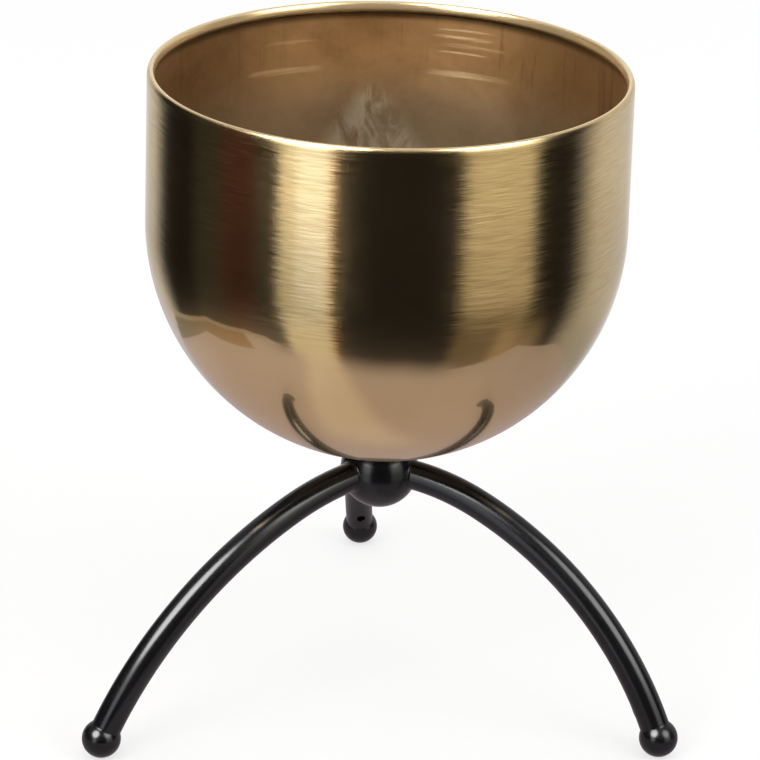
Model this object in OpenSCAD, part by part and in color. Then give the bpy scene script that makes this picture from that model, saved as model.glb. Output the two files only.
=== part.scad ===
// Round metal planter pot on a black three-legged stand.
// Millimetres, +Z up, floor at z = 0, rear leg towards +Y.

/* [Pot] */
// outside diameter of the wall just under the rim
wall_top_d = 199.4; // [180:0.2:205]
// outside diameter where the wall runs into the round bowl
belly_d = 201; // [185:0.5:215]
// height from the start of the bowl to the middle of the rolled rim
wall_h = 63; // [30:0.5:120]
// sheet thickness
sheet_t = 0.9; // [0.7:0.1:1.2]
// width of the rolled rim, flush with the wall outside
bead_w = 3.2; // [2.6:0.1:4.5]
// height of the rolled rim
bead_h = 5.4; // [4.8:0.1:6]
// width of the gap between the curled edge and the wall
curl_gap = 1.1; // [0.6:0.1:1.3]
// diameter of the flat pressed into the bottom
pot_flat_d = 24; // [21:0.5:30]
// radial clearance of the screw in the pot's bottom hole
pot_hole_gap = 0.35; // [0.2:0.05:0.6]

/* [Stand] */
// hub ball diameter
hub_d = 33.6; // [30:0.2:40]
// height of the hub ball's centre above the floor
hub_z = 102; // [80:1:130]
// height of the flat seat above the hub ball's centre
seat_up = 13; // [11:0.2:13.4]
// radius of the circle through the three foot centres
foot_circle_r = 136.3; // [115:0.5:160]
// foot ball diameter
foot_d = 16.5; // [15.5:0.1:20]
// diameter of the small flat under each foot ball
foot_flat_d = 5.5; // [3:0.5:7]
// leg tube outside diameter
tube_d = 12.7; // [10:0.1:13.2]
// leg tube wall
tube_t = 1.2; // [0.8:0.1:2]
// slope of a leg at the hub, degrees below level
leg_start = -4.5; // [-7:0.5:5]
// slope of a leg where its tighter bend ends
leg_mid = 22; // [18:0.5:40]
// slope of a leg at its foot
leg_end = 66; // [60:0.5:68]
// lean of each leg's bend plane about the line from hub to foot
leg_lean = 9.2; // [0:0.2:12]
// diameter of the vent hole on the inside of each leg
vent_d = 4; // [3:0.1:4.2]
// distance of the vent hole from the foot ball's centre
vent_up = 10.5; // [10.4:0.1:20]

/* [Welds] */
// length of the fillet along the tube at the hub
weld_hub = 1.2; // [0.8:0.1:1.6]
// length of the fillet along the tube at the foot
weld_foot = 0.8; // [0.6:0.1:1]
// thickness of the fillet's thin end
weld_edge = 0.2; // [0.15:0.05:0.3]
// gap between the fillet and the curved tube
weld_gap = 0.02; // [0.02:0.01:0.05]
// widening of the fillet towards the ball
weld_slope = 0.2; // [0.16:0.01:0.24]

/* [Fixing] */
// thickness of the pad between hub and pot
pad_t = 1; // [0.5:0.1:2]
// pad diameter
pad_d = 20; // [16:0.5:20.5]
// diameter of the rubber seal washer inside the pot
seal_d = 20; // [16:0.5:22]
// thickness of the seal washer
seal_t = 1.5; // [1:0.1:3]
// diameter of the steel washer under the screw head
washer_d = 18; // [14:0.5:20]
// thickness of the steel washer
washer_t = 1.6; // [1:0.1:2]
// radial clearance of the pad and washers on the screw
washer_gap = 0.25; // [0.1:0.05:0.5]
// screw diameter over its thread
screw_d = 5.9; // [4.9:0.1:7.9]
// screw length under the head
screw_l = 16; // [14:1:18]
// diameter of the screw's domed head
head_d = 12; // [10:0.5:14]
// height of the head
head_h = 3.6; // [3:0.1:5]
// width of each arm of the cross recess
recess_w = 1.4; // [1:0.1:2]
// length of the cross recess from arm end to arm end
recess_span = 6; // [4:0.2:7]
// depth of the cross recess
recess_deep = 1.8; // [1:0.1:2.4]
// chamfer at the screw's tip
tip_ch = 0.8; // [0.4:0.1:1.2]
// radial running clearance of the screw in the hub's hole
hub_hole_gap = 0.05; // [0.02:0.01:0.1]
// spare depth of the hub's hole below the screw's tip
hub_hole_spare = 2.5; // [1:0.5:5]

/* [Hidden] */
$fn = 96;
fine = 250;
over = 1;

brass = [0.78, 0.6, 0.33];
black = [0.05, 0.05, 0.055];
steel = [0.72, 0.72, 0.74];
rubber = [0.1, 0.1, 0.1];

// the three legs stand a third of a turn apart, the first one at the back
rear_bearing = 90;
leg_step = 120;

belly_r = belly_d / 2;
hub_r = hub_d / 2;
foot_r = foot_d / 2;
tube_r = tube_d / 2;
foot_z = sqrt(foot_r * foot_r - foot_flat_d * foot_flat_d / 4);

// the hub axis stands off the middle of the outline, because the rear leg reaches furthest
axis_y = (belly_r - foot_circle_r - foot_r) / 2;
left_bearing = rear_bearing + leg_step;
right_bearing = rear_bearing - leg_step;

// the pot's heights build up from the hub's seat
seat_z = hub_z + seat_up;
pot_flat_z = seat_z + pad_t;
bowl_z = pot_flat_z + sqrt(belly_r * belly_r - pot_flat_d * pot_flat_d / 4);
bead_z = bowl_z + wall_h;
bead_r = wall_top_d / 2 - bead_w / 2;
inner_flat_z = pot_flat_z + sheet_t;
washer_z = inner_flat_z + seal_t;
head_z = washer_z + washer_t;
hub_hole_depth = seat_z - (head_z - screw_l) + hub_hole_spare;

// a leg is two arcs that meet smoothly; their radii follow from the foot's place and the slopes
across1 = sin(leg_mid) - sin(leg_start);
across2 = sin(leg_end) - sin(leg_mid);
drop1 = cos(leg_start) - cos(leg_mid);
drop2 = cos(leg_mid) - cos(leg_end);
leg_drop = hub_z - foot_z;
arc_det = across1 * drop2 - across2 * drop1;
arc1_r = (foot_circle_r * drop2 - across2 * leg_drop) / arc_det;
arc2_r = (across1 * leg_drop - drop1 * foot_circle_r) / arc_det;
arc1_x = -arc1_r * sin(leg_start);
arc1_z = hub_z - arc1_r * cos(leg_start);
joint_x = arc1_x + arc1_r * sin(leg_mid);
joint_z = arc1_z + arc1_r * cos(leg_mid);
arc2_x = joint_x - arc2_r * sin(leg_mid);
arc2_z = joint_z - arc2_r * cos(leg_mid);

// where the tube's side meets each ball, and where the vent sits, as slopes along the leg
hub_seam = leg_start + 2 * asin(sqrt(hub_r * hub_r - tube_r * tube_r) / (2 * arc1_r));
foot_seam = leg_end - 2 * asin(sqrt(foot_r * foot_r - tube_r * tube_r) / (2 * arc2_r));
vent_at = leg_end - 2 * asin(vent_up / (2 * arc2_r));

// Pot
// half section of the wall, bowl and flat, drawn smaller by inset and taller by top
module pot_half(inset, top) {
  intersection() {
    translate([0, bowl_z]) circle(r = belly_r - inset);
    translate([0, pot_flat_z + inset]) square([belly_r, bowl_z - pot_flat_z - inset]);
  }
  polygon([
    [0, bowl_z],
    [belly_r - inset, bowl_z],
    [wall_top_d / 2 - inset, bead_z],
    [wall_top_d / 2 - inset, bead_z + top],
    [0, bead_z + top]]);
}

// oval of four arcs: two flat ones at its sides and two tight ones that join them smoothly
module oval(half_w, half_h, tip_r) {
  side_r = (half_w * half_w + half_h * half_h - 2 * half_h * tip_r) / (2 * (half_w - tip_r));
  tip_up = half_h - tip_r;
  meet = tip_up * side_r / (side_r - tip_r);
  intersection() {
    translate([half_w - side_r, 0]) circle(r = side_r);
    translate([side_r - half_w, 0]) circle(r = side_r);
    translate([-half_w, -meet]) square([2 * half_w, 2 * meet]);
  }
  for (side = [-1, 1])
    translate([0, side * tip_up]) circle(r = tip_r);
}

// the sheet rolls over inwards and its edge stops short of the wall
module curl_half() {
  wall_in = wall_top_d / 2 - sheet_t;
  // the tight arcs lie midway between a sharp fold and a half circle
  tip_r = (bead_w / 2 + sheet_t) / 2;
  difference() {
    translate([bead_r, bead_z]) oval(bead_w / 2, bead_h / 2, tip_r);
    translate([bead_r, bead_z]) oval(bead_w / 2 - sheet_t, bead_h / 2 - sheet_t, tip_r - sheet_t);
    translate([wall_in - curl_gap, bead_z - bead_h]) square([curl_gap + bead_w, bead_h]);
  }
}

module pot() {
  color(brass)
    rotate_extrude() {
      difference() {
        pot_half(0, 0);
        pot_half(sheet_t, over);
        square([screw_d / 2 + pot_hole_gap, bowl_z]);
      }
      curl_half();
    }
}

// Fixing
module ring(d, bore, t) {
  difference() {
    cylinder(d = d, h = t);
    translate([0, 0, -over]) cylinder(d = bore, h = t + 2 * over);
  }
}

module seat_pad() {
  color(rubber)
    translate([0, 0, seat_z]) ring(pad_d, screw_d + 2 * washer_gap, pad_t);
}

module seal_washer() {
  color(rubber)
    translate([0, 0, inner_flat_z]) ring(seal_d, screw_d + 2 * washer_gap, seal_t);
}

module flat_washer() {
  color(steel)
    translate([0, 0, washer_z]) ring(washer_d, screw_d + 2 * washer_gap, washer_t);
}

module fixing_screw() {
  dome_r = head_d * head_d / (4 * head_h);
  color(steel)
    translate([0, 0, head_z]) {
      difference() {
        intersection() {
          cylinder(d = head_d, h = head_h);
          translate([0, 0, head_h - dome_r]) sphere(r = dome_r);
        }
        for (turn = [0, 90])
          rotate([0, 0, turn])
            translate([-recess_span / 2, -recess_w / 2, head_h - recess_deep])
              cube([recess_span, recess_w, recess_deep + over]);
      }
      translate([0, 0, tip_ch - screw_l]) cylinder(d = screw_d, h = screw_l - tip_ch);
      translate([0, 0, -screw_l])
        cylinder(d1 = screw_d - 2 * tip_ch, d2 = screw_d, h = tip_ch);
    }
}

// Stand
module hub_ball() {
  color(black)
    difference() {
      translate([0, 0, hub_z]) sphere(r = hub_r);
      translate([-hub_r, -hub_r, seat_z]) cube([hub_d, hub_d, hub_r]);
      translate([0, 0, seat_z - hub_hole_depth])
        cylinder(d = screw_d + 2 * hub_hole_gap, h = hub_hole_depth + over);
    }
}

module tube_section(bore) {
  difference() {
    circle(d = tube_d);
    if (bore > 0) circle(d = bore);
  }
}

// both bends are drawn from the joint between them, so that their faces there are one
module leg_path(bore) {
  translate([joint_x, 0, joint_z])
    rotate([90, 0, 0])
      rotate([0, 0, 90 - leg_mid]) {
        translate([-arc1_r, 0, 0])
          rotate_extrude(angle = leg_mid - leg_start)
            translate([arc1_r, 0]) tube_section(bore);
        mirror([0, 1, 0])
          translate([-arc2_r, 0, 0])
            rotate_extrude(angle = leg_end - leg_mid)
              translate([arc2_r, 0]) tube_section(bore);
      }
}

module hub_sphere() {
  translate([0, 0, hub_z]) sphere(r = hub_r);
}

module foot_sphere() {
  translate([foot_circle_r, 0, foot_z]) sphere(r = foot_r);
}

// turns the bend plane about the line from the hub's centre to the foot's centre
module leaned() {
  translate([0, 0, hub_z])
    rotate(a = -leg_lean, v = [foot_circle_r, 0, foot_z - hub_z])
      translate([0, 0, -hub_z]) children();
}

module leg() {
  color(black)
    leaned()
      difference() {
        leg_path(tube_d - 2 * tube_t);
        hub_sphere();
        foot_sphere();
        translate([
          arc2_x + arc2_r * sin(vent_at),
          0,
          arc2_z + arc2_r * cos(vent_at)])
          rotate([0, -90, 0]) cylinder(d = vent_d, h = tube_d);
      }
}

// a thin cone around the tube, trimmed to the ball that it joins
module weld(x, z, slope, long) {
  back = 3 * long;
  translate([x, 0, z])
    rotate([0, 90 + slope, 0])
      translate([0, 0, -back])
        difference() {
          cylinder(
            r1 = tube_r + weld_edge + (back + long) * weld_slope,
            r2 = tube_r + weld_edge,
            h = back + long,
            $fn = fine);
          translate([0, 0, -over])
            cylinder(r = tube_r + weld_gap, h = back + long + 2 * over, $fn = fine);
        }
}

module hub_weld() {
  color(black)
    leaned()
      difference() {
        weld(arc1_x + arc1_r * sin(hub_seam), arc1_z + arc1_r * cos(hub_seam), hub_seam, weld_hub);
        hub_sphere($fn = fine);
      }
}

module foot_weld() {
  color(black)
    leaned()
      difference() {
        weld(arc2_x + arc2_r * sin(foot_seam), arc2_z + arc2_r * cos(foot_seam),
          foot_seam - 180, weld_foot);
        foot_sphere($fn = fine);
      }
}

module foot() {
  color(black)
    intersection() {
      foot_sphere();
      translate([foot_circle_r - foot_d, -foot_d, 0]) cube(2 * foot_d);
    }
}

module placed() {
  translate([0, axis_y, 0]) children();
}

module at(bearing) {
  placed() rotate([0, 0, bearing]) children();
}

placed() pot();
placed() seat_pad();
placed() seal_washer();
placed() flat_washer();
placed() fixing_screw();
placed() hub_ball();
at(rear_bearing) leg();  // leg_rear
at(left_bearing) leg();  // leg_front_left
at(right_bearing) leg();  // leg_front_right
at(rear_bearing) foot();  // foot_rear
at(left_bearing) foot();  // foot_front_left
at(right_bearing) foot();  // foot_front_right
at(rear_bearing) hub_weld();  // weld_hub_rear
at(left_bearing) hub_weld();  // weld_hub_front_left
at(right_bearing) hub_weld();  // weld_hub_front_right
at(rear_bearing) foot_weld();  // weld_foot_rear
at(left_bearing) foot_weld();  // weld_foot_front_left
at(right_bearing) foot_weld();  // weld_foot_front_right
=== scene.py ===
import math
import bmesh
import bpy
import numpy as np
from mathutils import Matrix, Vector


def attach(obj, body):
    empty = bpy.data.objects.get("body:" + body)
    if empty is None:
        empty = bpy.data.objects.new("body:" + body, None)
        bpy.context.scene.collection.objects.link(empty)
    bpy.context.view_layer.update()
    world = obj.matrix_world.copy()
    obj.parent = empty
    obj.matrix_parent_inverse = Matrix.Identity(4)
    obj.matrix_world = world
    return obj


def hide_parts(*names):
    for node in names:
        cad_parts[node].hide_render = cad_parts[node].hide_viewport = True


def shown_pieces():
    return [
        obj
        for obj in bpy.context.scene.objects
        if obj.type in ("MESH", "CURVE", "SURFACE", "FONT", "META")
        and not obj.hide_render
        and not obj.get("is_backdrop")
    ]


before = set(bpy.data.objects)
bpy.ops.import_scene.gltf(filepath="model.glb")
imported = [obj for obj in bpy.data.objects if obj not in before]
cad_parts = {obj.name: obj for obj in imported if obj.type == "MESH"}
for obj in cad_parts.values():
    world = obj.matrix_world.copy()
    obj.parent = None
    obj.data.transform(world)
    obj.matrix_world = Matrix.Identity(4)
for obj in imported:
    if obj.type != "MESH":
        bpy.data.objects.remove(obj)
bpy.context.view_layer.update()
print("frame loaded")

axisY = -0.022025             # the pot's axis stands here, in metres
perRadian = 180 / math.pi     # degrees in a radian


class Wire:
    # one output of a node; arithmetic on it adds Math nodes to its tree

    def __init__(self, maker, socket):
        self.maker = maker
        self.socket = socket

    def maths(self, operation, *others):
        values = dict(enumerate((self,) + others))
        return self.maker.add("ShaderNodeMath", {"operation": operation}, values)

    def __add__(self, other):
        return self.maths("ADD", other)

    def __radd__(self, other):
        return self.maths("ADD", other)

    def __sub__(self, other):
        return self.maths("SUBTRACT", other)

    def __rsub__(self, other):
        return self.maker.add("ShaderNodeMath", {"operation": "SUBTRACT"}, {0: other, 1: self})

    def __mul__(self, other):
        return self.maths("MULTIPLY", other)

    def __rmul__(self, other):
        return self.maths("MULTIPLY", other)


class NodeMaker:
    # one material's or world's node tree, emptied, with one method that makes any node

    def __init__(self, owner):
        owner.use_nodes = True
        self.tree = owner.node_tree
        self.tree.nodes.clear()

    def add(self, kind, settings=None, values=None, out=0):
        # the settings come first, then the values or links of its sockets; out is the output given back
        made = self.tree.nodes.new(kind)
        for name, setting in (settings or {}).items():
            setattr(made, name, setting)
        for key, value in (values or {}).items():
            if isinstance(value, Wire):
                self.tree.links.new(value.socket, made.inputs[key])
            else:
                made.inputs[key].default_value = value
        return Wire(self, made.outputs[out]) if len(made.outputs) else None

    def mixColour(self, share, first, second):
        return self.add("ShaderNodeMix", {"data_type": "RGBA"}, {0: share, 6: first, 7: second}, 2)

    def vector(self, operation, *inputs, out=0):
        return self.add("ShaderNodeVectorMath", {"operation": operation}, dict(enumerate(inputs)), out)

    def scaled(self, way, amount):
        return self.add("ShaderNodeVectorMath", {"operation": "SCALE"}, {0: way, "Scale": amount})

    def noise(self, place, scale, detail=2.0, rough=0.5, bend=0.0):
        return self.add("ShaderNodeTexNoise", {}, {
            "Vector": place, "Scale": scale, "Detail": detail, "Roughness": rough, "Distortion": bend})

    def smooth(self, value, low, high, before=0.0, after=1.0):
        # before until low and after from high on, with a soft step between them
        return self.add("ShaderNodeMapRange", {"interpolation_type": "SMOOTHSTEP"}, {
            0: value, 1: low, 2: high, 3: before, 4: after})

    def band(self, value, start, full, fade, end):
        # 1 from full to fade and 0 outside start and end, with a soft step at each side
        return self.smooth(value, start, full) * self.smooth(value, fade, end, 1.0, 0.0)

    def place(self):
        # where a point lies in its object, in metres
        return self.add("ShaderNodeTexCoord", {}, {}, 3)

    def parts(self, place):
        node = self.add("ShaderNodeSeparateXYZ", {}, {0: place}).socket.node
        return [Wire(self, node.outputs[i]) for i in range(3)]

    def joined(self, x, y, z):
        return self.add("ShaderNodeCombineXYZ", {}, {0: x, 1: y, 2: z})

    def rays(self):
        # 1 for rays from the camera, from gloss and through clear things, each on its own output
        node = self.add("ShaderNodeLightPath").socket.node
        kinds = ("Camera", "Glossy", "Transmission")
        return [Wire(self, node.outputs["Is %s Ray" % kind]) for kind in kinds]

    def bump(self, height, strength, distance):
        return self.add("ShaderNodeBump", {}, {"Strength": strength, "Distance": distance, "Height": height})

    def principled(self, sockets):
        return self.add("ShaderNodeBsdfPrincipled", {}, sockets)

    def mixShader(self, share, first, second):
        return self.add("ShaderNodeMixShader", {}, {0: share, 1: first, 2: second})

    def finish(self, surface, kind="ShaderNodeOutputMaterial"):
        self.add(kind, {}, {"Surface": surface})


camera = {
    "distance": 1.4,          # from the foot of the pot's axis, m
    "elevation": 28.70,       # of the camera above the floor, degrees
    "pitch": 23.305,          # downward tilt of its line of sight, degrees
    "roll": 1.727,            # degrees
    "turn": 3.58,             # of the stand against the camera, degrees
    "picture": 760,           # width and height of the picture, pixels
    "lensPixels": 3138.4,     # focal length in pixels of the picture
    "middleX": 381.98,        # where the line of sight meets the picture, in pixels
    "middleY": 380.0,
    "sensor": 36.0,           # mm
    "nearest": 0.05,          # what the camera sees starts and ends here, m
    "farthest": 60.0,
}


def makeCamera():
    # sight = (cos pitch sin turn, cos pitch cos turn, -sin pitch), level = sight x upright, and
    # right and up are level and level x sight turned by the roll
    c = camera
    turn, pitch, roll = [math.radians(c[k]) for k in ("turn", "pitch", "roll")]
    high = math.radians(c["elevation"])
    back = c["distance"] * math.cos(high)
    place = np.array([-back * math.sin(turn), axisY - back * math.cos(turn), c["distance"] * math.sin(high)])
    sight = np.array([
        math.cos(pitch) * math.sin(turn), math.cos(pitch) * math.cos(turn), -math.sin(pitch)])
    level = np.cross(sight, [0, 0, 1])
    level /= np.linalg.norm(level)
    over = np.cross(level, sight)
    right = level * math.cos(roll) + over * math.sin(roll)
    up = over * math.cos(roll) - level * math.sin(roll)
    lens = bpy.data.cameras.new("camera")
    lens.sensor_width = c["sensor"]
    lens.lens = c["lensPixels"] * c["sensor"] / c["picture"]
    lens.shift_x = (c["picture"] / 2 - c["middleX"]) / c["picture"]
    lens.shift_y = (c["middleY"] - c["picture"] / 2) / c["picture"]
    lens.clip_start = c["nearest"]
    lens.clip_end = c["farthest"]
    made = bpy.data.objects.new("camera", lens)
    bpy.context.scene.collection.objects.link(made)
    made.rotation_mode = "QUATERNION"
    matrix = np.eye(4)
    matrix[:3, 0], matrix[:3, 1], matrix[:3, 2], matrix[:3, 3] = right, up, -sight, place
    made.matrix_world = Matrix(matrix.tolist())
    bpy.context.scene.camera = made
    return place


cameraPlace = makeCamera()
print("camera placed")

# the room that gloss shows; angles are degrees up, or degrees round to the left of the camera. Two
# angles are a soft step, four a band, and numbers after two angles are the values before and after it
studio = {
    "plain": 0.9,             # level of the plain soft light on matt surfaces
    "leftBox": (22, 28.2, 48, 54.5),
    "leftLevel": 1.13,
    "leftRise": (-25.0, -18.0, 0.66, 1.24),
    "rightBox": (-77, -68, -41, -31.5),
    "rightLevel": 0.60,
    "rightRise": (-27.0, -13.0, 0.22, 1.34),
    "rightPatch": (-95, -82, -66, -56),       # a weak light low beside the right box
    "patchLevel": 0.2,
    "patchFade": (-36.0, -28.0, 1.0, 0.0),
    "boxUpper": (-4.0, 16.0, 50.0, 62.0),     # the boxes' upper part, which is plain white
    "boxUpperLevel": 1.6,
    "rightUpperShare": 0.8,
    "leftTint": (1.0, 1.08, 1.20, 1),
    "leftEdge": (0.72, 0.72, 0.64, 1),        # its outer part
    "leftEdgeAt": (41.0, 44.0),
    "leftLower": (1.0, 0.98, 0.86, 1),
    "leftLowerAt": (-36.0, -18.0),
    "leftWarm": (1.0, 0.66, 0.30, 1),         # its inner edge
    "leftWarmAt": (22.5, 29.5),
    "rightTint": (1.0, 0.98, 0.82, 1),
    "rightLower": (1.0, 0.78, 0.50, 1),
    "rightLowerAt": (-30.0, -10.0),
    # each lamp: degrees left, degrees up, degrees from its middle to its soft edge's end and start, level
    "lamps": ((44, 46, 23, 16, 20.0), (-56, 41, 24, 12, 6.0)),
    "darkRoom": (0.007, 0.006, 0.006, 1),
    "greyCorner": (0.030, 0.031, 0.026, 1),
    "greyCornerAt": (54.0, 62.0, 96.0, 108.0),
    "redCorner": (0.055, 0.022, 0.017, 1),
    "redCornerAt": (60.0, 66.0, 80.0, 88.0),
    "ceiling": (0.40, 0.39, 0.38, 1),
    "ceilingAt": (14.0, 44.0),
    "backdropLeftAt": (126.0, 148.0),
    "backdropRightAt": (-120.0, -94.0),
    "backdropLevel": (150.0, 176.0, 0.62, 0.86),        # brighter straight behind the pot
    "backdropLow": (-36.0, -23.0, 0.4, 0.0),            # share that its right half loses low down
    "backdropBlue": 1.02,
}


def makeWorld():
    # white to the camera, plain to matt surfaces, and to gloss a dark room with two tall soft boxes,
    # by the angles around = atan2(leftward, ahead) and height = asin(z) of the way looked
    world = bpy.data.worlds.new("studio")
    bpy.context.scene.world = world
    n = NodeMaker(world)
    s = studio
    x, y, z = n.parts(n.add("ShaderNodeTexCoord", {}, {}, 0))
    towards = np.array([cameraPlace[0], cameraPlace[1] - axisY])
    towards /= np.linalg.norm(towards)
    ahead = x * float(towards[0]) + y * float(towards[1])
    leftward = x * float(towards[1]) - y * float(towards[0])
    around = leftward.maths("ARCTAN2", ahead) * perRadian
    height = z.maths("ARCSINE") * perRadian

    # the boxes, and white light from their upper part and from the lamps
    leftBox, rightBox = n.band(around, *s["leftBox"]), n.band(around, *s["rightBox"])
    left = leftBox * n.smooth(height, *s["leftRise"]) * s["leftLevel"]
    right = rightBox * n.smooth(height, *s["rightRise"]) * s["rightLevel"]
    right = n.band(around, *s["rightPatch"]) * n.smooth(height, *s["patchFade"]) * s["patchLevel"] + right
    upper = n.band(height, *s["boxUpper"]) * s["boxUpperLevel"]
    upper = (leftBox + rightBox * s["rightUpperShare"]) * upper
    for azimuth, elevation, end, start, level in s["lamps"]:
        flat = math.cos(math.radians(elevation))
        aim = (flat * math.cos(math.radians(azimuth)), flat * math.sin(math.radians(azimuth)),
               math.sin(math.radians(elevation)))
        near = n.vector("DOT_PRODUCT", n.joined(ahead, leftward, z), aim, out=1)
        upper = n.smooth(near, math.cos(math.radians(end)), math.cos(math.radians(start))) * level + upper

    # the dark room with its corners and ceiling, and the backdrop behind the pot
    room = n.mixColour(n.band(around, *s["greyCornerAt"]), s["darkRoom"], s["greyCorner"])
    room = n.mixColour(n.band(around, *s["redCornerAt"]), room, s["redCorner"])
    room = n.mixColour(n.smooth(height, *s["ceilingAt"]), room, s["ceiling"])
    behindRight = 1 - n.smooth(around, *s["backdropRightAt"])
    behind = n.smooth(around, *s["backdropLeftAt"]).maths("MAXIMUM", behindRight)
    level = n.smooth(around.maths("ABSOLUTE"), *s["backdropLevel"])
    level = level * (1 - behindRight * n.smooth(height, *s["backdropLow"]))
    room = n.mixColour(behind, room, n.joined(level, level, level * s["backdropBlue"]))

    # the boxes' colours
    leftColour = n.mixColour(n.smooth(around, *s["leftEdgeAt"]), s["leftTint"], s["leftEdge"])
    leftColour = n.mixColour(n.smooth(height, *s["leftLowerAt"]), s["leftLower"], leftColour)
    leftColour = n.mixColour(n.smooth(around, *s["leftWarmAt"]), s["leftWarm"], leftColour)
    rightColour = n.mixColour(n.smooth(height, *s["rightLowerAt"]), s["rightLower"], s["rightTint"])
    boxes = n.vector("ADD", n.scaled(leftColour, left), n.scaled(rightColour, right))
    lit = n.vector("ADD", n.vector("ADD", room, boxes), n.joined(upper, upper, upper))
    seen, gloss, through = n.rays()
    colour = n.mixColour(gloss.maths("MAXIMUM", through), (s["plain"], s["plain"], s["plain"], 1), lit)
    colour = n.mixColour(seen, colour, (1, 1, 1, 1))
    n.finish(n.add("ShaderNodeBackground", {}, {"Color": colour, "Strength": 1.0}), "ShaderNodeOutputWorld")


# the floor, and the table top that only gloss sees on it; lengths are metres, with steps and bands as above
table = {
    "half": 6.0,              # of the floor's side
    "matt": (0.93, 0.93, 0.93, 1),
    "glow": 1.03,             # what the camera sees is part matt and part an even white
    "glowShare": 0.64,
    # outward direction in plan and distance of each straight edge of the white table top
    "sides": ((-0.936, 0.354, 0.334), (-0.970, -0.244, 0.343), (-0.782, -0.623, 0.336),
              (0.980, -0.196, 0.298), (0.847, 0.531, 0.229)),
    "front": ((-0.343, -0.939, 0.278), (0.0, -1.0, 0.262), (0.335, -0.942, 0.256)),
    "sheet": ((-0.941, -0.338, 0.275), (-0.883, 0.469, 0.269)),     # of the white sheet on it
    "crispEdge": (-0.003, 0.003),
    "softEdge": (-0.048, 0.045),              # the front edge fades out softly in its middle
    "softMiddle": (-0.26, -0.21, 0.09, 0.15),           # x
    "near": (0.49, 0.42, 0.45, 1),            # shaded under the pot
    "far": (0.56, 0.50, 0.56, 1),
    "farAt": (0.10, 0.30),                    # from the pot's axis
    "back": (0.62, 0.62, 0.70, 1),
    "backAt": (0.18, 0.20),                   # y
    "rightShade": (0.08, 0.22, 1.0, 0.78),    # x
    "beam": (0.17, 0.17, 0.15),               # the left box's shine on the table
    "beamAcross": (0.866, -0.5, 0),
    "beamHalf": (0.02, 0.055),                # from its middle line
    "beamAt": (-0.08, 0.0),                   # y
    "gapNear": (0.38, 0.262, 0.170, 1),       # bare strip beside the white sheet on the table
    "gapFar": (0.255, 0.232, 0.200, 1),
    "gapColourAt": (-0.13, 0.14),             # y
    "gapEdge": (-0.002, 0.002),
    "gapStart": (-0.135, -0.128),             # y
    "lip": (0.50, 0.46, 0.41, 1),             # the table's light edge
    "lipShare": 0.8,
    "lipWide": (0.014, 0.020),
    "lipAt": (-0.28, -0.24),                  # x
}


def makeFloor():
    # one big flat square at z = 0
    t = table
    half = t["half"]
    mesh = bpy.data.meshes.new("floor")
    mesh.from_pydata(
        [(-half, -half, 0), (half, -half, 0), (half, half, 0), (-half, half, 0)], [], [(0, 1, 2, 3)])
    made = bpy.data.objects.new("floor", mesh)
    bpy.context.scene.collection.objects.link(made)
    made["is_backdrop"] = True
    material = bpy.data.materials.new("floorWhite")
    mesh.materials.append(material)
    n = NodeMaker(material)
    place = n.place()

    def within(edges):
        # how far inside all of the straight edges a point lies: the least of distance - place . outward
        nearest = None
        for outX, outY, distance in edges:
            inside = distance - n.vector("DOT_PRODUCT", place, (outX, outY, 0), out=1)
            nearest = inside if nearest is None else nearest.maths("MINIMUM", inside)
        return nearest

    # the front edge is crisp at its sides and fades out in the middle
    x, y = n.parts(place)[:2]
    sides, front = within(t["sides"]), within(t["front"])
    crisp = n.smooth(front, *t["crispEdge"])
    soft = n.smooth(front, *t["softEdge"])
    tableTop = n.smooth(sides, *t["crispEdge"]) * (crisp + (soft - crisp) * n.band(x, *t["softMiddle"]))
    behindPot = n.smooth(y, *t["backAt"])
    gap = (1 - n.smooth(within(t["sheet"]), *t["gapEdge"])) * n.smooth(y, *t["gapStart"]) * (1 - behindPot)
    lip = (1 - n.smooth(sides, *t["lipWide"])) * (1 - n.smooth(x, *t["lipAt"]))
    fromAxis = n.vector("SUBTRACT", place, (0, axisY, 0))
    away = n.vector("LENGTH", fromAxis, out=1)
    colour = n.mixColour(n.smooth(away, *t["farAt"]), t["near"], t["far"])
    colour = n.mixColour(behindPot, colour, t["back"])
    colour = n.scaled(colour, n.smooth(x, *t["rightShade"]))
    aside = n.vector("DOT_PRODUCT", fromAxis, t["beamAcross"], out=1)
    beam = (1 - n.smooth(aside.maths("ABSOLUTE"), *t["beamHalf"])) * (1 - n.smooth(y, *t["beamAt"]))
    colour = n.vector("ADD", colour, n.scaled(t["beam"], beam))
    gapColour = n.mixColour(n.smooth(y, *t["gapColourAt"]), t["gapNear"], t["gapFar"])
    colour = n.mixColour(gap, colour, gapColour)
    colour = n.mixColour(lip * t["lipShare"], colour, t["lip"])
    seen, gloss = n.rays()[:2]
    matt = n.add("ShaderNodeBsdfDiffuse", {}, {"Color": t["matt"]})
    white = n.add("ShaderNodeEmission", {}, {"Color": (1, 1, 1, 1), "Strength": t["glow"]})
    shown = n.add("ShaderNodeEmission", {}, {"Color": colour, "Strength": 1.0})
    clear = n.add("ShaderNodeBsdfTransparent")
    other = n.mixShader(gloss, matt, n.mixShader(tableTop, clear, shown))
    n.finish(n.mixShader(seen, other, n.mixShader(t["glowShare"], matt, white)))


mattLamps = {
    "places": {"leftLamp": (-1.1, -1.2, 1.3), "rightLamp": (1.2, -0.8, 1.2)},     # m
    "watts": {"leftLamp": 9.0, "rightLamp": 6.0},
    "size": 0.9,              # m
    "aim": (0, 0, 0.15),
}


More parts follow.
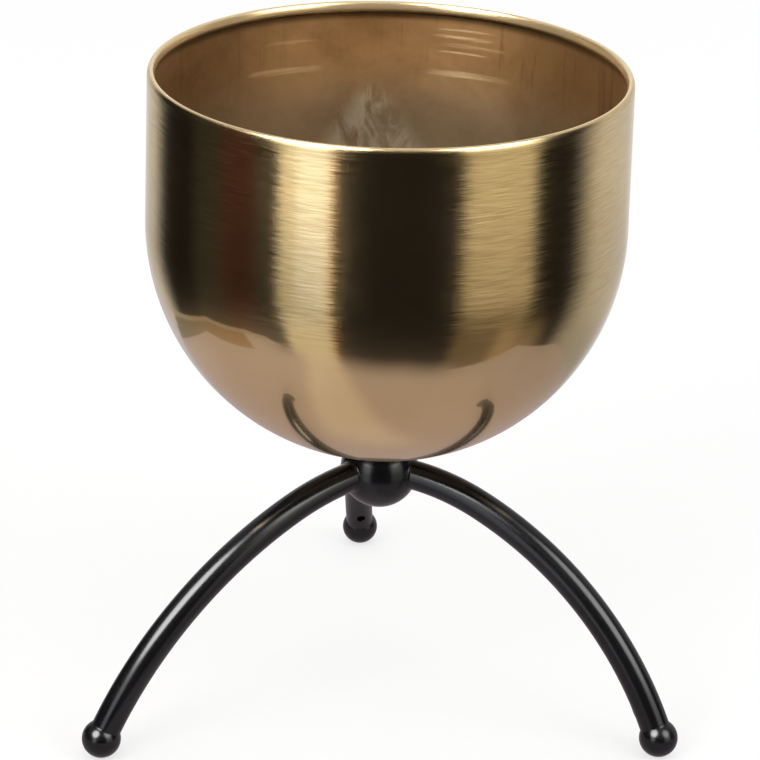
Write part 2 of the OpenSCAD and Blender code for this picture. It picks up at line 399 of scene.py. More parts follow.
def makeLamps():
    # two soft lamps for matt surfaces only, because the world already shows their boxes to gloss
    for name, place in mattLamps["places"].items():
        lamp = bpy.data.lights.new(name, "AREA")
        lamp.shape = "SQUARE"
        lamp.size = mattLamps["size"]
        lamp.energy = mattLamps["watts"][name]
        made = bpy.data.objects.new(name, lamp)
        bpy.context.scene.collection.objects.link(made)
        made.location = place
        aim = np.array(mattLamps["aim"]) - np.array(place)
        made.rotation_mode = "QUATERNION"
        made.rotation_quaternion = Vector(aim).to_track_quat("-Z", "Y")
        made.visible_glossy = False
        made.visible_camera = False


makeWorld()
makeFloor()
makeLamps()
bpy.context.scene.view_settings.view_transform = "Standard"
print("studio set")

# the pot's section in metres, as in the CAD source
potSizes = {
    "wallTopRadius": 0.0997,
    "bellyRadius": 0.1005,
    "bowlHeight": 0.215781,     # where the wall runs into the bowl
    "rimHeight": 0.278781,      # middle of the rolled rim
    "rimHalfWide": 0.0016,
    "rimHalfTall": 0.0027,
    "curlGap": 0.0011,
    "sheet": 0.0009,
    "flatHeight": 0.116,
    "holeRadius": 0.0033,
    "around": 448,              # points round the pot
    "crease": 38,               # edges sharper than this stay sharp, degrees
    "grain": 0.1,               # length of the direction round the pot that the brushing reads
}


def line(start, end, count):
    # points start (1 - t) + end t of a straight line, the last one left out
    t = np.linspace(0, 1, count, endpoint=False)[:, None]
    return np.array(start) * (1 - t) + np.array(end) * t


def arc(middle, radius, fromAngle, toAngle, count):
    # points middle + radius (cos t, sin t), by angle in degrees, the last one left out
    t = np.radians(np.linspace(fromAngle, toAngle, count, endpoint=False))
    return np.stack([middle[0] + radius * np.cos(t), middle[1] + radius * np.sin(t)], -1)


def potProfile():
    # goes round the sheet's section: outside upwards, over the rolled rim, and down the inside;
    # the rim is an oval of four arcs, flat ones at its sides and tight ones at top and bottom, and the
    # last number of each stretch is its count of points
    p = potSizes
    bowl = (0.0, p["bowlHeight"])
    wide, tall, sheet = p["rimHalfWide"], p["rimHalfTall"], p["sheet"]
    tip = (wide + sheet) / 2
    side = (wide ** 2 + tall ** 2 - 2 * tall * tip) / (2 * (wide - tip))
    meet = math.degrees(math.asin((tall - tip) / (side - tip)))
    rim = (p["wallTopRadius"] - wide, p["rimHeight"])
    rightSide, leftSide = (rim[0] - side + wide, rim[1]), (rim[0] + side - wide, rim[1])
    top, bottom = (rim[0], rim[1] + tall - tip), (rim[0], rim[1] - tall + tip)
    inRadius = p["bellyRadius"] - sheet
    wallIn = p["wallTopRadius"] - sheet
    flatIn = p["flatHeight"] + sheet
    outFoot = math.asin((p["flatHeight"] - bowl[1]) / p["bellyRadius"])
    inFoot = math.asin((flatIn - bowl[1]) / inRadius)
    edge = wallIn - p["curlGap"] - rim[0]
    outEnd = 360 - math.degrees(math.acos(edge / tip))
    inEnd = 360 - math.degrees(math.acos((edge - side + wide) / (side - sheet)))
    outer = np.concatenate([
        line((p["holeRadius"], p["flatHeight"]),
             (p["bellyRadius"] * math.cos(outFoot), p["flatHeight"]), 1),
        arc(bowl, p["bellyRadius"], math.degrees(outFoot), 0, 62),
        line((p["bellyRadius"], bowl[1]), (p["wallTopRadius"], rim[1]), 24),
        arc(rightSide, side, 0, meet, 10),
        arc(top, tip, meet, 180 - meet, 16),
        arc(leftSide, side, 180 - meet, 180 + meet, 16),
        arc(bottom, tip, 180 + meet, outEnd, 6)])
    edgeOut = (rim[0] + edge, bottom[1] + tip * math.sin(math.radians(outEnd)))
    edgeIn = (rim[0] + edge, rim[1] + (side - sheet) * math.sin(math.radians(inEnd)))
    inner = np.concatenate([
        line(edgeOut, edgeIn, 1),
        arc(leftSide, side - sheet, inEnd, 180 - meet, 8),
        arc(top, tip - sheet, 180 - meet, meet, 8),
        arc(rightSide, side - sheet, meet, 0, 4),
        line((wallIn, rim[1]), (inRadius, bowl[1]), 18),
        arc(bowl, inRadius, 0, math.degrees(inFoot), 44),
        line((inRadius * math.cos(inFoot), flatIn), (p["holeRadius"], flatIn), 1),
        line((p["holeRadius"], flatIn), (p["holeRadius"], p["flatHeight"]), 1)])
    return outer, inner


def gridMesh(name, points, closedRows=True):
    # a mesh through a grid of points: face (i, j) has the corners (i, j), (i, j+1), (i+1, j+1), (i+1, j),
    # each row closes on itself, and the last row meets the first one again where closedRows says so
    rows, columns = points.shape[:2]
    i = np.arange(rows if closedRows else rows - 1)[:, None]
    j = np.arange(columns)[None]
    nextI, nextJ = (i + 1) % rows, (j + 1) % columns
    corners = [i * columns + j, i * columns + nextJ, nextI * columns + nextJ, nextI * columns + j]
    faces = np.stack([c + 0 * (i + j) for c in corners], -1)
    mesh = bpy.data.meshes.new(name)
    mesh.from_pydata(points.reshape(-1, 3).tolist(), [], faces.reshape(-1, 4).tolist())
    mesh.shade_smooth()
    return mesh


def spun(profile, count):
    # points (radius cos t, radius sin t, height) of a profile of (radius, height) about the pot's axis
    turn = np.linspace(0, 2 * math.pi, count, endpoint=False)[None]
    radius, height = profile[:, :1], profile[:, 1:]
    return np.stack([radius * np.cos(turn), radius * np.sin(turn) + axisY, height + 0 * turn], -1)


def addPiece(name, mesh, body, finish, slot, *stoodFor):
    made = bpy.data.objects.new(name, mesh)
    bpy.context.scene.collection.objects.link(made)
    mesh.materials.append(finish)
    if stoodFor:
        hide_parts(*stoodFor)
    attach(made, body)


mergeWithin = 1e-7            # points nearer to each other than this are one, m


def facedOut(mesh):
    # merges doubles and turns every face of a closed mesh outwards
    shape = bmesh.new()
    shape.from_mesh(mesh)
    bmesh.ops.remove_doubles(shape, verts=shape.verts, dist=mergeWithin)
    bmesh.ops.recalc_face_normals(shape, faces=shape.faces)
    shape.to_mesh(mesh)
    shape.free()
    return mesh


def addAttribute(mesh, name, kind, values):
    made = mesh.attributes.new(name, kind, "POINT")
    made.data.foreach_set("vector" if kind == "FLOAT_VECTOR" else "value", np.asarray(values, float).ravel())


def makePot():
    # the brushing follows the sheet, so each point keeps the direction round the pot and how far along
    # the section it lies; the inside's distance is mirrored at the top of the rim: 2 rim - along
    p = potSizes
    outer, inner = potProfile()
    profile = np.concatenate([outer, inner])
    points = spun(profile, p["around"])
    mesh = gridMesh("potShell", points)
    points = points.reshape(-1, 3)
    step = np.linalg.norm(np.diff(profile, axis=0), axis=1)
    along = np.concatenate([[0], np.cumsum(step)])
    rimAt = int(np.argmax(profile[:, 1]))
    inside = (np.arange(len(profile)) >= len(outer)).astype(float)
    along = np.where(inside > 0.5, 2 * along[rimAt] - along, along)
    turn = np.arctan2(points[:, 1] - axisY, points[:, 0])
    each = np.repeat(along, p["around"])
    grain = np.stack([p["grain"] * np.cos(turn), p["grain"] * np.sin(turn), each], -1)
    addAttribute(mesh, "grain", "FLOAT_VECTOR", grain)
    addAttribute(mesh, "inside", "FLOAT", np.repeat(inside, p["around"]))
    mesh.set_sharp_from_angle(angle=math.radians(p["crease"]))
    addPiece("pot_shell", mesh, "pot", brushedBrass(), "brass_pot", "pot")


class PotMetal(NodeMaker):
    # the pot's node tree, and what it reads of the sheet: the direction round the pot, and metres along
    # the section from the hole in the bottom

    def __init__(self, owner):
        super().__init__(owner)
        self.grain = self.add("ShaderNodeAttribute", {"attribute_name": "grain"}, {}, 1)
        self.gx, self.gy, self.along = self.parts(self.grain)

    def marks(self, across, lengthwise, detail, rough, bend=0.0):
        # noise at (across gx, across gy, lengthwise along): the larger the factor, the finer that way
        place = self.joined(self.gx * across, self.gy * across, self.along * lengthwise)
        return self.noise(place, 1.0, detail, rough, bend)

    def turned(self, delta):
        # the normal plus a small turn in the pot's own directions, made one long again
        facing = self.add("ShaderNodeNewGeometry", {}, {}, 1)
        delta = self.add("ShaderNodeVectorTransform", {
            "vector_type": "VECTOR", "convert_from": "OBJECT", "convert_to": "WORLD"}, {0: delta})
        return self.vector("NORMALIZE", self.vector("ADD", facing, delta))


# the outside; a name with At is a soft step or band in metres along the sheet, with the values before and
# after it where they aren't 0 and 1. The bowl meets the wall at 0.1545, and the roll's top is at 0.2209
brassLook = {
    "metal": (0.90, 0.70, 0.39, 1),
    "deep": (0.68, 0.485, 0.235, 1),
    "rubbed": (0.86, 0.66, 0.37, 1),          # the roll's top, matt from handling
    "rubbedAt": (0.2198, 0.2214, 0.2243, 0.2262),
    "rubbedShare": 0.5,
    "rubbedDullness": 0.42,
    "anisotropy": 0.88,
    "strokeAngle": 0.25,      # of the strokes to the surface's tangent, in turns
    "brushedRoughness": 0.21,
    "brushedSpread": 0.03,
    "polishedRoughness": 0.05,
    "polishedShare": 0.22,    # of the wall; the bowl and the rim have more
    "bowlAt": (0.130, 0.150, 1.0, 0.0),
    "bowlShareAt": (0.085, 0.112, 0.18, 0.36),
    "rimAt": (0.2135, 0.2155),
    "rimShare": 0.3,
    "rimRoughness": 0.17,
    # fine, wide and rise: fineness round the pot and along the sheet, detail and roughness of the noise
    "strokes": ((95, 3200, 1.0, 0.5), (50, 800, 1.0, 0.5), (90, 2900, 1.0, 0.5)),
    "strokeContrast": (0.28, 0.72, -0.5, 0.5),
    "stroke": 0.030,          # sideways wander of the reflections in one stroke
    "wideStroke": 0.1,        # share of the wide strokes in it
    "polishedStroke": 0.6,    # share of it on the polished ground
    "strokeAt": (0.112, 0.128, 0.1, 1.0),
    "tooth": 0.009,           # up and down roughness of the brushing
    "bowlCalm": 0.9,          # share of the brushing that the bowl lacks
    "cloud": (22.0, 3.0, 0.55),               # scale, detail and roughness of its noise
    "cloudContrast": (0.3, 0.7, 0.4, 0.6),
    "strokeBright": (0.55, 0.08),             # of the fine and the wide strokes in the colour
    # painted shade: darker low on the wall and in the bowl, which evens out the brighter light reflected
    # there
    "wallShadeAt": (0.150, 0.200, 0.84, 1.0),
    "bowlShadeAt": (0.130, 0.148, 0.10, 0.0),           # added to it, so the bowl's painted shade is lighter
    "rollShadeAt": (0.2241, 0.2266, 1.0, 0.2),         # painted shade inside the roll, under its curl
    "patchTurn": -119,        # painted shade: a darker patch low on the wall below the left box's band, degrees round from +X
    "patchRound": (0.955, 0.995),             # cosines of its half angle
    "patchAt": (0.141, 0.156, 0.158, 0.207),
    "patchShade": 0.32,
}


def outsideMetal(n):
    # fine strokes round the pot over a polished ground; each stroke turns the surface a little:
    # tangent * stroke * (fine + wideStroke * wide) + upright * tooth * rise
    look = brassLook
    low = n.smooth(n.along, *look["bowlAt"])
    rim = n.smooth(n.along, *look["rimAt"])
    calm = 1 - look["bowlCalm"] * low
    fine, wide, rise = [n.smooth(n.marks(*noise), *look["strokeContrast"]) for noise in look["strokes"]]
    tangent = n.vector("NORMALIZE", n.joined(n.gy * -1, n.gx, 0.0))
    wander = (fine + wide * look["wideStroke"]) * look["stroke"] * n.smooth(n.along, *look["strokeAt"])
    sideways = n.scaled(tangent, wander)
    upward = n.joined(0.0, 0.0, rise * look["tooth"] * calm)

    # painted shade: the colour is darker low on the wall, to balance the brighter light reflected there,
    # darker still in one patch below the left box's band, and dark inside the roll where its curl shades it
    cloud = n.smooth(n.noise(n.grain, *look["cloud"]), *look["cloudContrast"])
    bright = cloud + (rise * look["strokeBright"][0] + wide * look["strokeBright"][1]) * calm
    colour = n.mixColour(bright, look["deep"], look["metal"])
    level = n.smooth(n.along, *look["wallShadeAt"]) + n.smooth(n.along, *look["bowlShadeAt"])
    level = level * n.smooth(n.along, *look["rollShadeAt"])
    # painted shade in one patch low on the wall
    way = math.radians(look["patchTurn"])
    fromPatch = n.gx * (math.cos(way) / potSizes["grain"]) + n.gy * (math.sin(way) / potSizes["grain"])
    patch = n.smooth(fromPatch, *look["patchRound"]) * n.band(n.along, *look["patchAt"])
    colour = n.scaled(colour, level * (1 - look["patchShade"] * patch))
    rubbed = n.band(n.along, *look["rubbedAt"])
    colour = n.mixColour(rubbed * look["rubbedShare"], colour, look["rubbed"])
    shine = 1 - look["rubbedDullness"] * rubbed
    brushed = n.principled({
        "Base Color": colour, "Metallic": shine, "Normal": n.turned(n.vector("ADD", sideways, upward)),
        "Roughness": look["brushedRoughness"] + rise * look["brushedSpread"] * calm,
        "Anisotropic": look["anisotropy"], "Anisotropic Rotation": look["strokeAngle"]})
    polished = n.principled({
        "Base Color": colour, "Metallic": shine,
        "Normal": n.turned(n.scaled(sideways, look["polishedStroke"])),
        "Roughness": look["polishedRoughness"] + rim * look["rimRoughness"]})
    share = look["polishedShare"] + low * n.smooth(n.along, *look["bowlShareAt"]) + rim * look["rimShare"]
    return n.mixShader(share, brushed, polished)


# the inside; a name with High is a step or band by height in metres, and one with Round by degrees from
# the back to the right. Each noise: fineness round the pot and along the sheet, detail, roughness, bend
insideLook = {
    "paleUpper": (0.56, 0.315, 0.122, 1),     # near the rim
    "darkUpper": (0.34, 0.170, 0.062, 1),
    "paleLower": (0.50, 0.355, 0.205, 1),     # lower down
    "darkLower": (0.34, 0.225, 0.118, 1),
    "upperHigh": (0.222, 0.262),
    "metal": 0.55,            # the rest is dull stain and dried water
    "roughness": 0.42,
    "roughnessSpread": 0.2,
    "anisotropy": 0.3,
    "stain": (16, 22, 5.0, 0.65, 0.8),
    "speck": (120, 120, 4.0, 0.7),
    "speckShare": 0.4,
    "stainContrast": (0.12, 0.80),
    "run": (0.17, 0.075, 0.030, 1),
    "runMarks": (150, 10, 4.0, 0.7, 0.3),
    "runContrast": (0.53, 0.70),
    "runShare": 0.6,
    "runEnds": (60, 0, 2.0, 0.5),
    "runEndSpread": 0.05,     # m
    "runHigh": (0.268, 0.284),
    "runRound": (12, 40, 0.4, 1.0),
    "residue": (0.80, 0.68, 0.48, 1),         # dried water at the back of the bowl
    "residueShare": 0.9,
    "residueTop": 0.2465,     # m
    "residueSpread": 420,     # degrees that it widens to each side for each metre down
    "residueTurn": -1.5,      # its middle, degrees
    "residueEdge": (-4.0, 3.0, 1.0, 0.0),
    "residueHigh": (0.165, 0.200, 0.236, 0.248),
    "feather": (75, 26, 4.0, 0.65, 1.6),
    "featherEdge": 12,        # degrees
    "featherContrast": (0.36, 0.56),
    "litBackTurn": 4,            # painted light: the back is brighter than the sides, and lies here
    "litBackRound": (12, 48, 1.0, 0.0),
    "litBackHigh": (0.225, 0.25, 0.08, 0.40),
    "shadedSideRound": (22, 50, 0.57, 0.65),
    "underRimShadeHigh": (0.2722, 0.2752, 1.0, 0.4),   # painted shade right under the rim, where the roll shades the wall
    # spun rings inside: height, half width, share, and degrees from the back where each starts and ends
    "rings": (
        (0.2515, 0.0018, 0.38, -38, -12), (0.2500, 0.0018, 0.38, 9, 36), (0.2642, 0.0012, 0.10, -32, -12),
        (0.2598, 0.0006, 0.30, 12, 30), (0.2562, 0.0005, 0.34, 7, 16), (0.2668, 0.0010, 0.26, 12, 32),
        (0.2702, 0.0007, 0.26, 12, 34), (0.2632, 0.0012, 0.16, 14, 36)),
    "ringFade": 5,            # degrees
    "ringCrisp": 0.4,         # share of the half width that is full
    "ringBreaks": (40, 900, 3.0, 0.7),
    "ringContrast": (0.35, 0.6),
    "ringTilt": 0.24,
    "ringRoughness": 0.25,
}


def insideMetal(n):
    # clouds of stain, thin runs down from the rim, a dried patch, and spun rings that catch the light
    look = insideLook
    height = n.parts(n.place())[2]
    turn = n.gx.maths("ARCTAN2", n.gy) * perRadian        # degrees from the back, to the right
    stain = n.marks(*look["stain"])
    worn = n.smooth(stain + (n.marks(*look["speck"]) - 0.5) * look["speckShare"], *look["stainContrast"])
    upper = n.smooth(height, *look["upperHigh"])
    pale = n.mixColour(upper, look["paleLower"], look["paleUpper"])
    dark = n.mixColour(upper, look["darkLower"], look["darkUpper"])
    colour = n.mixColour(worn, dark, pale)

    # thin dark runs, most of them on the right, that start under the rim and end at different heights
    runs = n.smooth(n.marks(*look["runMarks"]), *look["runContrast"])
    reach = n.marks(*look["runEnds"]) * look["runEndSpread"]
    shown = n.smooth(height + reach, *look["runHigh"]) * n.smooth(turn, *look["runRound"])
    colour = n.mixColour(runs * shown * look["runShare"], colour, look["run"])

    # a pale fan of dried water with feathered edges, (top - height) * spread degrees to each side
    fanWide = (look["residueTop"] - height) * look["residueSpread"]
    feather = n.marks(*look["feather"])
    fromMiddle = (turn - look["residueTurn"]).maths("ABSOLUTE")
    fan = n.smooth(fromMiddle - fanWide + (feather - 0.5) * look["featherEdge"], *look["residueEdge"])
    fan = fan * n.band(height, *look["residueHigh"]) * n.smooth(feather, *look["featherContrast"])
    colour = n.mixColour(fan * look["residueShare"], colour, look["residue"])

    # painted light and shade: the back is brighter than the sides because it reflects the lit room, and
    # painted shade darkens the wall right under the rim
    back = n.smooth((turn - look["litBackTurn"]).maths("ABSOLUTE"), *look["litBackRound"])
    level = n.smooth(turn, *look["shadedSideRound"]) + back * n.smooth(height, *look["litBackHigh"])
    colour = n.scaled(colour, level * n.smooth(height, *look["underRimShadeHigh"]))
    stained = n.principled({
        "Base Color": colour, "Metallic": look["metal"],
        "Roughness": look["roughness"] + (stain - 0.5) * look["roughnessSpread"],
        "Anisotropic": look["anisotropy"], "Anisotropic Rotation": brassLook["strokeAngle"]})

    # the rings are bare metal, turned a little upwards and broken along their length
    broken = n.smooth(n.marks(*look["ringBreaks"]), *look["ringContrast"])
    rings = 0.0
    for middle, half, share, start, end in look["rings"]:
        ring = n.smooth((height - middle).maths("ABSOLUTE"), look["ringCrisp"] * half, half, 1.0, 0.0)
        reach = n.band(turn, start, start + look["ringFade"], end - look["ringFade"], end)
        rings = ring * share * reach * broken + rings
    ringed = n.principled({
        "Base Color": brassLook["metal"], "Metallic": 1.0, "Roughness": look["ringRoughness"],
        "Normal": n.turned(n.joined(0.0, 0.0, look["ringTilt"]))})
    return n.mixShader(rings, stained, ringed)


def brushedBrass():
    # the outside and the inside of the sheet, told apart by the attribute inside
    material = bpy.data.materials.new("brushedBrass")
    n = PotMetal(material)
    inside = n.add("ShaderNodeAttribute", {"attribute_name": "inside"}, {}, 2)
    n.finish(n.mixShader(inside, outsideMetal(n), insideMetal(n)))
    return material


paintLook = {
    "colour": (0.0035, 0.0035, 0.0042, 1),
    "duller": (0.0065, 0.0062, 0.0070, 1),
    "patches": (45.0, 3.0),
    "roughness": 0.20,
    "roughnessSpread": 0.10,
    "peel": 0.00012,          # height of the paint's faint orange peel, m
    "peelScale": 420.0,
    "peelStrength": 0.12,
    "index": 1.45,            # of refraction
    "shine": 0.42,
}


def blackPaint():
    # glossy black with a faint orange peel and slightly duller patches
    look = paintLook
    material = bpy.data.materials.new("blackPaint")
    n = NodeMaker(material)
    place = n.place()
    peel = n.noise(place, look["peelScale"])
    patch = n.noise(place, *look["patches"])
    n.finish(n.principled({
        "Base Color": n.mixColour(patch, look["colour"], look["duller"]),
        "Roughness": look["roughness"] + (patch - 0.5) * look["roughnessSpread"],
        "Normal": n.bump(peel, look["peelStrength"], look["peel"]),
        "IOR": look["index"], "Specular IOR Level": look["shine"]}))
    return material


rubberLook = {
    "dark": (0.018, 0.018, 0.019, 1),
    "pale": (0.035, 0.034, 0.034, 1),
    "roughness": 0.62,
    "roughnessSpread": 0.2,
    "grain": (1800.0, 2.0, 0.6),
    "depth": 0.0001,          # m
    "strength": 0.3,
}


def plainRubber():
    # black rubber with a fine matt grain
    look = rubberLook
    material = bpy.data.materials.new("blackRubber")
    n = NodeMaker(material)
    speck = n.noise(n.place(), *look["grain"])
    n.finish(n.principled({
        "Base Color": n.mixColour(speck, look["dark"], look["pale"]),
        "Roughness": look["roughness"] + (speck - 0.5) * look["roughnessSpread"],
        "Normal": n.bump(speck, look["strength"], look["depth"])}))
    return material


zincLook = {
    "blue": (0.66, 0.67, 0.70, 1),
    "yellow": (0.74, 0.72, 0.66, 1),
    "tint": (260.0, 3.0, 0.6),
    "marks": (900.0, 2.0, 0.6),
    "markStretch": (1, 1, 8),
    "roughness": 0.28,
    "roughnessSpread": 0.16,
    "depth": 0.00005,         # m
    "strength": 0.15,
}


def zincSteel():
    # zinc plate: bright, faintly blue and yellow, with turning marks
    look = zincLook
    material = bpy.data.materials.new("zincPlate")
    n = NodeMaker(material)
    place = n.place()
    tint = n.noise(place, *look["tint"])
    marks = n.noise(n.add("ShaderNodeMapping", {}, {0: place, "Scale": look["markStretch"]}), *look["marks"])
    n.finish(n.principled({
        "Base Color": n.mixColour(tint, look["blue"], look["yellow"]), "Metallic": 1.0,
        "Roughness": look["roughness"] + (marks - 0.5) * look["roughnessSpread"],
        "Normal": n.bump(marks, look["strength"], look["depth"])}))
    return material


black = blackPaint()
rubber = plainRubber()
zinc = zincSteel()
finishes = {"black_paint": black, "rubber_pad": rubber, "zinc_steel": zinc}
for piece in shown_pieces():
    for slot in piece.material_slots:
        if slot.material and slot.material.name in finishes:
            slot.material = finishes[slot.material.name]
print("paint and steel on the CAD pieces")

makePot()
print("pot made")

# the stand in metres and degrees, as in the CAD source, with its weld fillets and vent edges
legSizes = {
    "hubHeight": 0.102, "hubRadius": 0.0168, "footRadius": 0.00825, "footFlat": 0.00275,
    "reach": 0.1363, "tubeRadius": 0.00635,
    "start": -4.5, "mid": 22.0, "end": 66.0, "lean": 9.2,
    "hubFillet": 0.0009, "footFillet": 0.0004,
    "filletSteps": 7, "filletTurns": 72,      # points across a fillet and round it
    "proud": 0.00001, "sunk": 0.0002,         # of a fillet's edges over the tube and ball, and its underside
    "hubSearch": 0.25, "footSearch": -0.12, "halvings": 40,       # where a seam is looked for, radians
    "ventRadius": 0.0020, "ventUp": 0.0105, "ventLip": 0.00026,
    "lipOut": 0.6, "lipSunk": 0.5,            # how far the lip's middle lies out and sunk, in lips
    "ventTurns": 60, "lipTurns": 12,          # points round the vent and round its lip
}
footHeight = math.sqrt(legSizes["footRadius"] ** 2 - legSizes["footFlat"] ** 2)


class Leg:
    # the two arcs of a leg in the plane x, z, worked out as the CAD source does

    def __init__(self):
        g = legSizes
        start, mid, end = [math.radians(g[k]) for k in ("start", "mid", "end")]
        across1, across2 = math.sin(mid) - math.sin(start), math.sin(end) - math.sin(mid)
        drop1, drop2 = math.cos(start) - math.cos(mid), math.cos(mid) - math.cos(end)
        fall = g["hubHeight"] - footHeight
        under = across1 * drop2 - across2 * drop1
        self.radius1 = (g["reach"] * drop2 - across2 * fall) / under
        self.radius2 = (across1 * fall - drop1 * g["reach"]) / under
        self.middle1 = np.array([
            -self.radius1 * math.sin(start), g["hubHeight"] - self.radius1 * math.cos(start)])
        joint = self.middle1 + self.radius1 * np.array([math.sin(mid), math.cos(mid)])
        self.middle2 = joint - self.radius2 * np.array([math.sin(mid), math.cos(mid)])

    def skin(self, slope, turn, radius, second):
        # a point on a tube of this radius: middle + (bend + radius cos turn) (sin slope, cos slope) in
        # the plane and radius sin turn beside it, in radians
        middle, bend = (self.middle2, self.radius2) if second else (self.middle1, self.radius1)
        out = bend + radius * np.cos(turn)
        return np.stack([
            middle[0] + out * np.sin(slope), radius * np.sin(turn) + 0 * slope,
            middle[1] + out * np.cos(slope)], -1)


def placedLeg(points, bearing):
    # leans the plane about the hub to foot line, then turns it to its bearing round the hub
    g = legSizes
    way = Vector((g["reach"], 0, footHeight - g["hubHeight"]))
    lean = Matrix.Rotation(-math.radians(g["lean"]), 3, way)
    turn = Matrix.Rotation(math.radians(bearing), 3, "Z")
    pivot = np.array([0, 0, g["hubHeight"]])
    leaned = (points - pivot) @ np.array(lean).T + pivot
    return leaned @ np.array(turn).T + np.array([0, axisY, 0])


def fillet(leg, atHub):
    # for each turn about the tube: the seam with the ball is found by halving, and a bent strip
    # (1-t)^2 tube + 2t(1-t) seam + t^2 ball runs from the tube to the ball past it, closed underneath
    g = legSizes
    turn = np.linspace(0, 2 * math.pi, g["filletTurns"], endpoint=False)
    ball = np.array([0, 0, g["hubHeight"]]) if atHub else np.array([g["reach"], 0, footHeight])
    ballRadius = g["hubRadius"] if atHub else g["footRadius"]
    size = g["hubFillet"] if atHub else g["footFillet"]
    bend = leg.radius1 if atHub else leg.radius2
    inner = np.full(g["filletTurns"], math.radians(g["start"] if atHub else g["end"]))
    outer = inner + (g["hubSearch"] if atHub else g["footSearch"])
    for halving in range(g["halvings"]):
        half = (inner + outer) / 2
        fromBall = np.linalg.norm(leg.skin(half, turn, g["tubeRadius"], not atHub) - ball, axis=1)
        inBall = fromBall < ballRadius
        inner, outer = np.where(inBall, half, inner), np.where(inBall, outer, half)
    step = (1 if atHub else -1) * size / bend
    seam = leg.skin(outer, turn, g["tubeRadius"], not atHub)
    onTube = leg.skin(outer + step, turn, g["tubeRadius"] + g["proud"], not atHub)
    outward = seam - leg.skin(outer, turn, 0.0, not atHub)
    outward /= np.linalg.norm(outward, axis=1)[:, None]
    onBall = seam + outward * size - ball
    onBall = ball + onBall / np.linalg.norm(onBall, axis=1)[:, None] * (ballRadius + g["proud"])
    under = leg.skin(outer - step, turn, g["tubeRadius"] - g["sunk"], not atHub)
    t = np.linspace(0, 1, g["filletSteps"])[:, None, None]
    strip = (1 - t) ** 2 * onTube + 2 * t * (1 - t) * seam + t ** 2 * onBall
    return np.concatenate([strip, under[None]])


def ventLip(leg):
    # a small round bead, middle + lip (cos t out + sin t proud), along the edge where the level vent
    # hole leaves the tube
    g = legSizes
    slope = math.radians(g["end"]) - 2 * math.asin(g["ventUp"] / (2 * leg.radius2))
    height = leg.middle2[1] + leg.radius2 * math.cos(slope)
    turn = np.linspace(0, 2 * math.pi, g["ventTurns"], endpoint=False)
    lip = g["ventLip"]

    def edge(radius):
        # the hole's edge at this radius, a little under the tube's skin
        side, up = radius * np.cos(turn), height + radius * np.sin(turn)
        across = leg.radius2 - np.sqrt((g["tubeRadius"] - g["lipSunk"] * lip) ** 2 - side ** 2)
        return np.stack([leg.middle2[0] + np.sqrt(across ** 2 - (up - leg.middle2[1]) ** 2), side, up], -1)

    middle = edge(g["ventRadius"] + g["lipOut"] * lip)
    out = edge(g["ventRadius"] + (g["lipOut"] + 1) * lip) - middle
    out /= np.linalg.norm(out, axis=1)[:, None]
    proud = np.cross(out, np.roll(middle, -1, 0) - np.roll(middle, 1, 0))
    proud /= np.linalg.norm(proud, axis=1)[:, None]
    t = np.linspace(0, 2 * math.pi, g["lipTurns"], endpoint=False)[:, None, None]
    return middle + lip * (np.cos(t) * out + np.sin(t) * proud)


leg = Leg()
for side, bearing in (("rear", 90), ("front_left", 210), ("front_right", 330)):
    for place, atHub in (("hub", True), ("foot", False)):
        mesh = facedOut(gridMesh("fillet", placedLeg(fillet(leg, atHub), bearing)))
        addPiece("fillet_%s_%s" % (place, side), mesh, "stand", black, "black_paint",
                 "weld_%s_%s" % (place, side))
    mesh = facedOut(gridMesh("lip", placedLeg(ventLip(leg), bearing)))
    addPiece("vent_lip_" + side, mesh, "stand", black, "black_paint")
print("fillets and vent edges made")

# the screw's shank in metres: heights of its two ends, and its thread
screwSizes = {
    "head": 0.120, "tip": 0.104, "radius": 0.00295, "root": 0.00245, "pitch": 0.001,
    "taper": 0.0008, "point": 0.0006,         # length and depth of the taper at the tip
    "plain": 0.0012, "fade": 0.0008,          # plain shank under the head, and the thread's way into it
    "ridge": (1.25, 2.6),                     # level and slope of the ridge's sides
    "intoHead": 0.0003, "cut": 0.00005,       # the shank's end and the head's cut lie above the head's base
    "turns": 48, "steps": 260, "crease": 30,
}


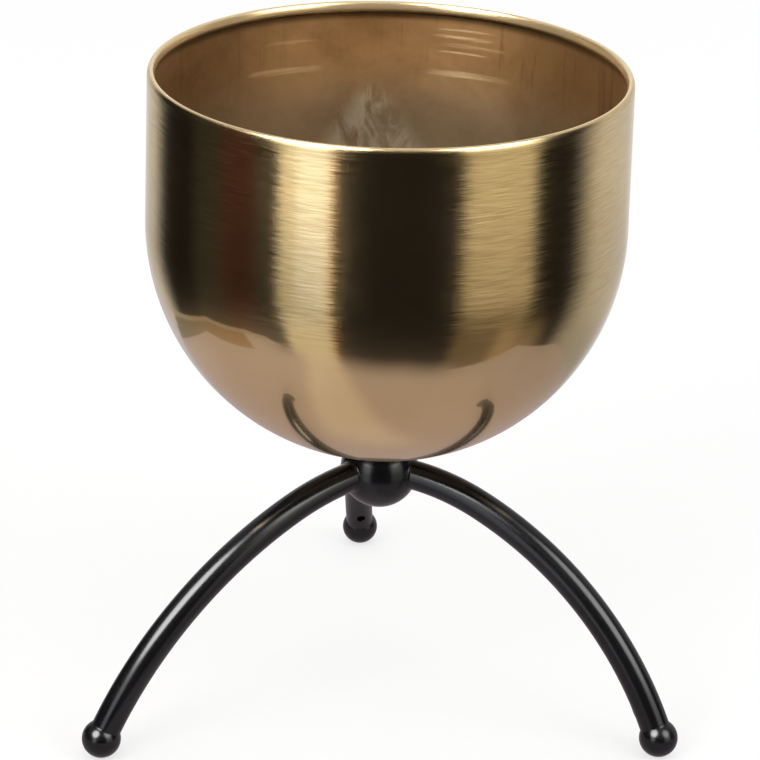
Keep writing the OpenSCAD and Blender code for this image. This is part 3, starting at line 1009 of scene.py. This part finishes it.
def threadedShank():
    # radius by turn and height: a ridge by the phase (height / pitch - turn) that climbs one pitch a
    # turn and fades at both ends
    g = screwSizes
    top = g["head"] + g["intoHead"]
    turn = np.linspace(0, 2 * math.pi, g["turns"], endpoint=False)[None]
    height = np.linspace(g["tip"], top, g["steps"])[:, None]
    phase = (height / g["pitch"] - turn / (2 * math.pi)) % 1.0
    ridge = np.clip(g["ridge"][0] - g["ridge"][1] * np.abs(phase - 0.5), 0, 1)
    low = np.clip((height - g["tip"]) / g["taper"], 0, 1)
    high = np.clip((g["head"] - g["plain"] - height) / g["fade"], 0, 1)
    radius = g["root"] + (g["radius"] - g["root"]) * (ridge * np.minimum(low, high) + (1 - high))
    radius = np.minimum(radius, g["radius"]) - g["point"] * (1 - low)
    points = np.stack([radius * np.cos(turn), radius * np.sin(turn) + axisY, height + 0 * turn], -1)
    tip, end = [np.broadcast_to(np.array([0, axisY, z]), points[:1].shape) for z in (g["tip"], top)]
    return np.concatenate([tip, points, end])


def makeScrew():
    # the CAD head, cut from a copy of the node, on a shank with a real thread
    shape = bmesh.new()
    shape.from_mesh(bpy.data.objects["fixing_screw"].data)
    bmesh.ops.remove_doubles(shape, verts=shape.verts, dist=10 * mergeWithin)
    everything = shape.verts[:] + shape.edges[:] + shape.faces[:]
    cut = bmesh.ops.bisect_plane(
        shape, geom=everything, plane_co=(0, 0, screwSizes["head"] + screwSizes["cut"]),
        plane_no=(0, 0, 1), clear_inner=True)
    rim = [e for e in cut["geom_cut"] if isinstance(e, bmesh.types.BMEdge)]
    bmesh.ops.holes_fill(shape, edges=rim)
    headMesh = bpy.data.meshes.new("head")
    shape.to_mesh(headMesh)
    shape.free()
    mesh = facedOut(gridMesh("screw", threadedShank(), closedRows=False))
    both = bmesh.new()
    both.from_mesh(mesh)
    both.from_mesh(headMesh)
    both.to_mesh(mesh)
    both.free()
    bpy.data.meshes.remove(headMesh)
    mesh.shade_smooth()
    mesh.set_sharp_from_angle(angle=math.radians(screwSizes["crease"]))
    addPiece("screw_threaded", mesh, "fixing", zinc, "zinc_steel", "fixing_screw")


makeScrew()
print("screw made")
